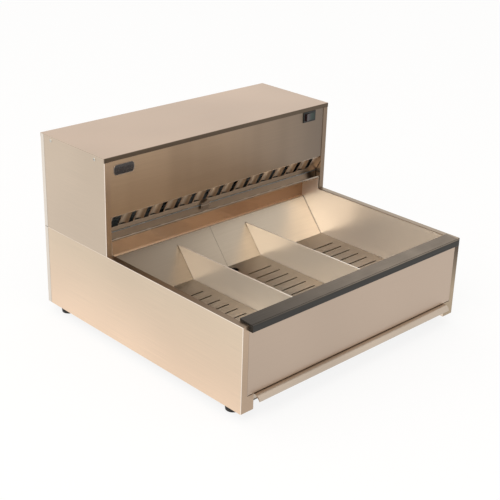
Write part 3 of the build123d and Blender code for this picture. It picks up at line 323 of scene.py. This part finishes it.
# Painted reflection: the slopes' forward faces run from dark brown at the left end to pale at the right, and their
# upward hem is a painted highlight; the floors' slightly paler upward tone is painted light too.
satin_slope = stainless("satin_2B_stainless", X, "#B3A798", ("#6F6051", "#DBCDBA"), "#FFF6EA", 0.34, 1.6, 0.02,
                        (180, 180, 180), 0.2, fade=SLOPE_ENDS)
satin_floor = stainless("satin_2B_stainless_floor", X, "#C6BDB2", "#C6BDB2", "#CCC4B9", 0.34, 1.6, 0.02,
                        (180, 180, 180), 0.2)
dress(satin_slope, "slope_panel_left", "slope_panel_right")
dress(satin_floor, "floor_rail_left", "floor_rail_right", "bin_floor_left", "bin_floor_centre", "bin_floor_right")


# ---- dividers ----
# Two loose sheets of bright stainless with a closed hem along the top, which stand in the slots of the rails.
# Painted light: the dividers' faces are near white, a painted reflection, and their upward hem is a painted highlight.
bright_divider = stainless("bright_annealed_stainless_divider", Y, "#FFF6E8", "#E6DACC", "#FFF8EF", 0.24, 4.0, 0.0,
                           (160, 160, 160), 0.2, metallic=0.55, darkest=0.99, gloss_share=0.02)
dress(bright_divider, "divider_left", "divider_right")


# ---- crumb tray ----
# A shallow pan of satin stainless that slides out at the front on the two guides. Its front edge is rolled
# outwards into the pull lip, and small ears close the ends of the roll.
# Painted light and shade: the tray's ends are paler than its front lip and top.
satin_tray = stainless("satin_2B_stainless_tray", X, "#E3D9CE", "#C4B5A5", "#C4B5A5", 0.34, 2.0, 0.02,
                       (200, 200, 200), 0.2)
dress(satin_tray, "crumb_tray")


# ---- front nosing ----
# A bumper of extruded black vinyl along the front edge, with a shallow groove near its front corner.
# The die leaves faint lines along it. Its top is painted with a mottled grey sheen, paler towards the right.
DIE_LINE_MM, DIE_LINE_LENGTH_MM, DIE_LINE_DEPTH_MM = 1.5, 120.0, 0.04
SMEAR_MM = 60.0
WIPED_FROM, WIPED_FULL = -0.36, 0.08   # where along the edge the painted grey sheen starts, and is full
TOP_FROM, TOP_FULL = 0.5, 0.95         # upward lean from which a face takes the painted sheen, and fully


def wiped_vinyl():
    """Black vinyl whose top is painted with a mottled grey sheen, paler towards the right."""
    material, tree = new_material("black_extruded_vinyl")
    coordinates = add_node(tree, "TexCoord")
    place = coordinates.outputs["Object"]
    cells = (1000 / DIE_LINE_LENGTH_MM, 1000 / DIE_LINE_MM, 1000 / DIE_LINE_MM)
    stretched = add_node(tree, "Mapping", {"Vector": place, "Scale": cells})
    lines = add_node(tree, "TexNoise", {"Vector": stretched.outputs[0], "Scale": 1.0, "Detail": 2.0}).outputs[0]
    smears = add_node(tree, "TexNoise", {"Vector": place, "Scale": 1000 / SMEAR_MM, "Detail": 3.0}).outputs[0]
    across = add_node(tree, "SeparateXYZ", {0: place}).outputs["X"]
    way = add_node(tree, "MapRange", {"Value": across, "From Min": WIPED_FROM, "From Max": WIPED_FULL}).outputs[0]
    up = add_node(tree, "SeparateXYZ", {0: coordinates.outputs["Normal"]}).outputs["Z"]
    level = add_node(tree, "MapRange", {"Value": up, "From Min": TOP_FROM, "From Max": TOP_FULL}).outputs[0]
    chalk = mixed(tree, smears, linear("#5E5347"), linear("#877B6D"))
    wiped = mixed(tree, way, linear("#2B241C"), chalk)
    tone = mixed(tree, level, linear("#1E1B16"), wiped)
    gloss = add_node(tree, "MapRange", {"Value": lines, "From Min": NOISE_LOW, "From Max": NOISE_HIGH,
                                        "To Min": 0.48, "To Max": 0.62}).outputs[0]
    bump = add_node(tree, "Bump", {"Height": lines, "Distance": DIE_LINE_DEPTH_MM / 1000}).outputs[0]
    vinyl = add_node(tree, "BsdfPrincipled", {"Base Color": tone, "Roughness": gloss, "Normal": bump})
    add_node(tree, "OutputMaterial", {"Surface": vinyl.outputs[0]})
    return material


dress(wiped_vinyl(), "front_nosing")


# ---- hood ----
# Sides, front, rear and top cover of the same number 4 stainless as the body. Each is sanded along its longer side.
# Painted reflection and shade: the hood sides' forward flanges are darker, the right one most, the top cover's forward
# lip is painted dark shade, and the hood front fades from warm beige at the left to grey at the right.
brushed_hood_left = stainless("number_4_stainless_hood_left", Y, "#CDBCA9", "#BFA48B", "#BFAE9B", 0.34, bend=POLISHED)
brushed_hood_right = stainless("number_4_stainless_hood_right", Y, "#CDBCA9", "#8A7867", "#BFAE9B", 0.34, bend=POLISHED)
brushed_top = stainless("number_4_stainless_top", X, "#C4B29E", "#64574A", "#CAB4A1", 0.36)
brushed_hood_front = stainless("number_4_stainless_hood_front", X, "#A59380", ("#BFA488", "#7F7266"), "#A59380",
                               0.40, 1.2, 0.01, (70, 70, 700), 0.15, fade=SLOPE_ENDS, gloss_share=0.08)
dress(brushed_hood_left, "hood_side_left")
dress(brushed_hood_right, "hood_side_right")
dress(brushed_top, "top_cover")
dress(brushed_hood_front, "hood_front")


# ---- grille, air ledge and clip ----
# Bright stainless again: the grille's vanes are bowed strips between slots, the ledge below is a polished fold
# with a lip, and a small spring clip stands near the middle. The bow of a vane turns its left half away from the
# light and its right half towards it, and the colour paints this: painted shade on the left half, painted highlight on
# the right.
VANE_TURN = 0.30                       # a vane's sideways lean, at which it has its full painted shade or highlight
ROLL_LINE_MM, ROLL_LINE_LENGTH_MM = 3.0, 180.0


def bowed_steel():
    """Bright sheet, with brown painted shade where it leans to the left and pale painted highlight where it leans to
    the right.
    """
    material, tree = new_material("bright_annealed_stainless_grille")
    coordinates = add_node(tree, "TexCoord")
    lean = add_node(tree, "SeparateXYZ", {0: coordinates.outputs["Normal"]}).outputs["X"]
    sweep = add_node(tree, "MapRange", {"Value": lean, "From Min": -VANE_TURN, "From Max": VANE_TURN}).outputs[0]
    cells = (1000 / ROLL_LINE_LENGTH_MM, 1000 / ROLL_LINE_MM, 1000 / ROLL_LINE_MM)
    stretched = add_node(tree, "Mapping", {"Vector": coordinates.outputs["Object"], "Scale": cells}).outputs[0]
    lines = add_node(tree, "TexNoise", {"Vector": stretched, "Scale": 1.0, "Detail": 1.0}).outputs[0]
    gloss = add_node(tree, "MapRange", {"Value": lines, "To Min": 0.26, "To Max": 0.34}).outputs[0]
    tone = mixed(tree, sweep, linear("#8C7662"), linear("#E9DED0"))
    steel = add_node(tree, "BsdfPrincipled", {"Base Color": tone, "Metallic": 1.0, "Roughness": gloss})
    add_node(tree, "OutputMaterial", {"Surface": steel.outputs[0]})
    return material


# Painted shade: the ledge's forward and upward faces are darker than its ends; the clip and the badge frame share it.
bright_ledge = stainless("bright_annealed_stainless_ledge", X, "#CFC6BA", "#9A8D80", "#A99C8F", 0.10, 3.0, 0.005,
                         (200, 200, 200), 0.1)
dress(bowed_steel(), "diffuser_grille")
dress(bright_ledge, "air_ledge", "grille_clip")


# ---- deck, plenum and blower housings ----
# Galvanised sheet again, folded and spot welded. None of it is seen with the cover on.
dress(galvanised_sheet, "hood_deck", "plenum", "blower_housing_left", "blower_housing_right", "heater_brackets")


# ---- heater ----
# A tubular element in a heat-proof alloy sheath. Its first firing leaves straw and blue oxide bands.
BAND_MM = 60.0


def tinted_sheath():
    """Alloy sheath with bands of heat tint along it."""
    material, tree = new_material("heat_tinted_alloy_sheath")
    place = add_node(tree, "TexCoord").outputs["Object"]
    bands = add_node(tree, "TexNoise", {"Vector": place, "Scale": 1000 / BAND_MM, "Detail": 2.0}).outputs[0]
    ramp = add_node(tree, "ValToRGB", {0: bands})
    for position, tint in ((0.35, "#6E5A44"), (0.5, "#8C7A5E"), (0.65, "#4C5264")):
        stop = ramp.color_ramp.elements.new(position)
        stop.color = linear(tint)
    alloy = add_node(tree, "BsdfPrincipled", {"Base Color": ramp.outputs[0], "Metallic": 1.0, "Roughness": 0.42})
    add_node(tree, "OutputMaterial", {"Surface": alloy.outputs[0]})
    return material


dress(tinted_sheath(), "heater")


# ---- blower wheels and motors ----
# Squirrel-cage wheels pressed from mill-finish aluminium, and motors in black stoving enamel.
mill_aluminium = stainless("mill_finish_aluminium", X, "#C9CACA", "#C9CACA", "#C9CACA", 0.38, 1.5, 0.02)
black_enamel = moulded("black_stoving_enamel", "#1D1D1F", 0.35, 2.0, 0.03, 0.3)
dress(mill_aluminium, "blower_wheel_left", "blower_wheel_right")
dress(black_enamel, "blower_motor_left", "blower_motor_right")


# ---- thermostat and terminal block ----
# A phenolic case with a short steel stem, and a glazed steatite strip with barriers between its ways.
brown_phenolic = moulded("brown_phenolic", "#3A2A20", 0.45, 1.0, 0.03)
glazed_steatite = moulded("glazed_steatite", "#E4E0D4", 0.22, 3.0, 0.02, 0.6)
dress(brown_phenolic, "thermostat")
dress(glazed_steatite, "terminal_block")


# ---- switch ----
# A snap-in rocker switch: a case of black glass-filled nylon, and a glossy rocker whose left half is tinted
# dark red and whose right half is tinted dark green.
black_nylon = moulded("black_glass_filled_nylon", "#161614", 0.5, 0.8, 0.03)
dress(black_nylon, "switch_housing", "cable_gland")


TINT_BLUR = 0.001                      # half the width over which the two tints meet


def tinted_rocker():
    """Glossy polycarbonate in two tints that meet at the pivot."""
    material, tree = new_material("tinted_polycarbonate")
    low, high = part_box("rocker")
    middle = (low.x + high.x) / 2
    place = add_node(tree, "TexCoord").outputs["Object"]
    across = add_node(tree, "SeparateXYZ", {0: place}).outputs["X"]
    side = add_node(tree, "MapRange", {"Value": across, "From Min": middle - TINT_BLUR,
                                       "From Max": middle + TINT_BLUR}).outputs[0]
    tone = mixed(tree, side, linear("#241012"), linear("#152A20"))
    lens = add_node(tree, "BsdfPrincipled", {"Base Color": tone, "Roughness": 0.34, "Coat Weight": 0.1})
    add_node(tree, "OutputMaterial", {"Surface": lens.outputs[0]})
    return material


dress(tinted_rocker(), "rocker")


# ---- badge plate ----
# A bare plate in dark vitreous enamel, with nothing on it, in a thin polished frame that is pressed round its edge.
FRAME_R = 0.0007
dark_enamel = moulded("dark_vitreous_enamel", "#231D1C", 0.24, 4.0, 0.01, 0.5)
dress(dark_enamel, "badge_plate")
PLATE_CORNER, CORNER_STEPS = 0.008, 8
plate_low, plate_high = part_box("badge_plate")
frame_line = []
for turn, x, z in ((0, plate_high.x, plate_high.z), (1, plate_low.x, plate_high.z),
                   (2, plate_low.x, plate_low.z), (3, plate_high.x, plate_low.z)):
    centre_x = x - math.copysign(PLATE_CORNER, x - (plate_low.x + plate_high.x) / 2)
    centre_z = z - math.copysign(PLATE_CORNER, z - (plate_low.z + plate_high.z) / 2)
    for step in range(CORNER_STEPS + 1):
        angle = math.radians(90 * (turn + step / CORNER_STEPS))
        frame_line.append((centre_x + PLATE_CORNER * math.cos(angle), plate_low.y + FRAME_R / 2,
                           centre_z + PLATE_CORNER * math.sin(angle)))
rim_curve = bpy.data.curves.new("badge_frame", "CURVE")
rim_curve.dimensions = "3D"
rim_curve.bevel_depth, rim_curve.bevel_resolution = FRAME_R, 3
rim_spline = rim_curve.splines.new("POLY")
rim_spline.points.add(len(frame_line) - 1)
for point, place in zip(rim_spline.points, frame_line):
    point.co = (*place, 1.0)
rim_spline.use_cyclic_u = True
rim_curve.materials.append(bright_ledge)
badge_frame = bpy.data.objects.new("badge_frame", rim_curve)
bpy.context.scene.collection.objects.link(badge_frame)
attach(badge_frame, "cabinet")


# ---- screws ----
# Zinc-plated pan-head screws with a cross recess, turned on a lathe and cold punched: two on each side for the
# top cover, one in each foot, and six on each rear panel.
HEAD_R, HEAD_H, SHANK_R, SHANK_L = 0.0040, 0.0018, 0.0020, 0.0090
CROSS_L, CROSS_W, CROSS_D = 0.0046, 0.0009, 0.0012
HEAD_SIDES = 28
CROWN_FOOT = 0.35                      # the height of the head's rim, as a share of the whole head
CROWN_STEP, CROWN_RINGS = 15, 6        # degrees from ring to ring up the crown, and how many
DRIVER_TURN = 0.7                      # radians between the crosses of two neighbours
SHARP_DEGREES = 35
bright_zinc = stainless("bright_zinc_plate", X, "#CFCCC4", "#CFCCC4", "#CFCCC4", 0.28, 1.0, 0.0, (10, 10, 10), 0.0)


def turned(profile, sides):
    """A bmesh turned about Z from radius and height pairs; the first and last lie on the axis."""
    shape = bmesh.new()
    rings = []
    for radius, height in profile:
        count = sides if radius else 1
        rings.append([shape.verts.new((radius * math.cos(math.tau * i / sides), radius * math.sin(math.tau * i / sides),
                                       height)) for i in range(count)])
    for low, high in zip(rings, rings[1:]):
        for i in range(sides):
            j = (i + 1) % sides
            corners = [low[i % len(low)], low[j % len(low)], high[j % len(high)], high[i % len(high)]]
            shape.faces.new(list(dict.fromkeys(corners)))
    return shape


def screw_template():
    """One screw with its head above the origin: crowned head, plain shank with a point, and the cross punched in."""
    crown = [(HEAD_R * math.cos(a), HEAD_H * (CROWN_FOOT + (1 - CROWN_FOOT) * math.sin(a)))
             for a in (math.radians(CROWN_STEP * step) for step in range(CROWN_RINGS))]
    profile = [(0, -SHANK_L), (SHANK_R * 0.5, -SHANK_L), (SHANK_R, -SHANK_L + SHANK_R), (SHANK_R, 0), (HEAD_R, 0)]
    shape = turned(profile + crown + [(0, HEAD_H)], HEAD_SIDES)
    bmesh.ops.recalc_face_normals(shape, faces=shape.faces)
    whole = bpy.data.meshes.new("screw")
    shape.to_mesh(whole)
    punch = bmesh.new()
    for length, width in ((CROSS_L, CROSS_W), (CROSS_W, CROSS_L)):
        size = Matrix.Diagonal((length, width, 2 * CROSS_D, 1))
        bmesh.ops.create_cube(punch, size=1.0, matrix=Matrix.Translation((0, 0, HEAD_H)) @ size)
    tool = bpy.data.meshes.new("punch")
    punch.to_mesh(tool)
    body, cutter = bpy.data.objects.new("screw", whole), bpy.data.objects.new("punch", tool)
    for item in (body, cutter):
        bpy.context.scene.collection.objects.link(item)
    cut = body.modifiers.new("cross", "BOOLEAN")
    cut.operation, cut.object, cut.solver, cut.use_self = "DIFFERENCE", cutter, "EXACT", True
    body_now = body.evaluated_get(bpy.context.evaluated_depsgraph_get())
    punched = bpy.data.meshes.new_from_object(body_now)
    for item in (body, cutter):
        bpy.data.objects.remove(item)
    return punched


screw_mesh = screw_template()


def screws(name, places, out):
    """Screws as one piece, with their heads along `out` and their crosses turned as the driver left them."""
    stand = Vector(out).to_track_quat("Z", "Y").to_matrix().to_4x4()
    gathered = bmesh.new()
    for count, place in enumerate(places):
        one = screw_mesh.copy()
        one.transform(Matrix.Translation(place) @ stand @ Matrix.Rotation(DRIVER_TURN * count, 4, "Z"))
        gathered.from_mesh(one)
        bpy.data.meshes.remove(one)
    mesh = bpy.data.meshes.new(name)
    gathered.to_mesh(mesh)
    mesh.materials.append(bright_zinc)
    mesh.shade_smooth()
    mesh.set_sharp_from_angle(angle=math.radians(SHARP_DEGREES))
    piece = bpy.data.objects.new(name, mesh)
    bpy.context.scene.collection.objects.link(piece)
    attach(piece, "cabinet")
    return piece


low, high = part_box("cover_screws")
along_side = (low.y + HEAD_R, high.y - HEAD_R)
middle = (low.z + high.z) / 2
left_screws = screws("cover_screws_left", [(low.x + HEAD_H, y, middle) for y in along_side], (-1, 0, 0))
screws("cover_screws_right", [(high.x - HEAD_H, y, middle) for y in along_side], (1, 0, 0))
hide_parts("cover_screws")

low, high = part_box("foot_screws")
under = screws("foot_screws_cross", [(x, y, low.z + HEAD_H) for x in (low.x + HEAD_R, high.x - HEAD_R)
                                     for y in (low.y + HEAD_R, high.y - HEAD_R)], (0, 0, -1))
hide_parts("foot_screws")

EDGE_IN = 0.009                        # rear screws from the panel's edge
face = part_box("body_rear_panel")[1].y
for panel in ("hood_rear", "body_rear_panel"):
    low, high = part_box(panel)
    levels = (low.z + EDGE_IN, (low.z + high.z) / 2, high.z - EDGE_IN)
    screws(panel + "_screws", [(x, face, z) for x in (low.x + EDGE_IN, high.x - EDGE_IN) for z in levels], (0, 1, 0))


# ---- camera ----
# The eye's place, worked out from the straight edges of the body and hood.
EYE = (-1.6865, -1.7188, 1.2313)
EYE_AZIMUTH, EYE_ELEVATION, EYE_ROLL = -44.33, 23.685, 1.827
FOCAL_PX, FRAME_PX = 1081.1, 500.0
SENSOR_MM = 36.0

azimuth, elevation, roll = (math.radians(a) for a in (EYE_AZIMUTH, EYE_ELEVATION, EYE_ROLL))
back = Vector((math.sin(azimuth) * math.cos(elevation), -math.cos(azimuth) * math.cos(elevation),
               math.sin(elevation)))
level = Vector((math.cos(azimuth), math.sin(azimuth), 0))
upright = back.cross(level)
right = level * math.cos(roll) + upright * math.sin(roll)
up = upright * math.cos(roll) - level * math.sin(roll)
lens = bpy.data.cameras.new("camera")
lens.sensor_fit = "HORIZONTAL"
lens.sensor_width = SENSOR_MM
lens.lens = SENSOR_MM * FOCAL_PX / FRAME_PX
camera = bpy.data.objects.new("camera", lens)
camera.matrix_world = Matrix.Translation(EYE) @ Matrix((right, up, back)).transposed().to_4x4()
bpy.context.scene.collection.objects.link(camera)
bpy.context.scene.camera = camera
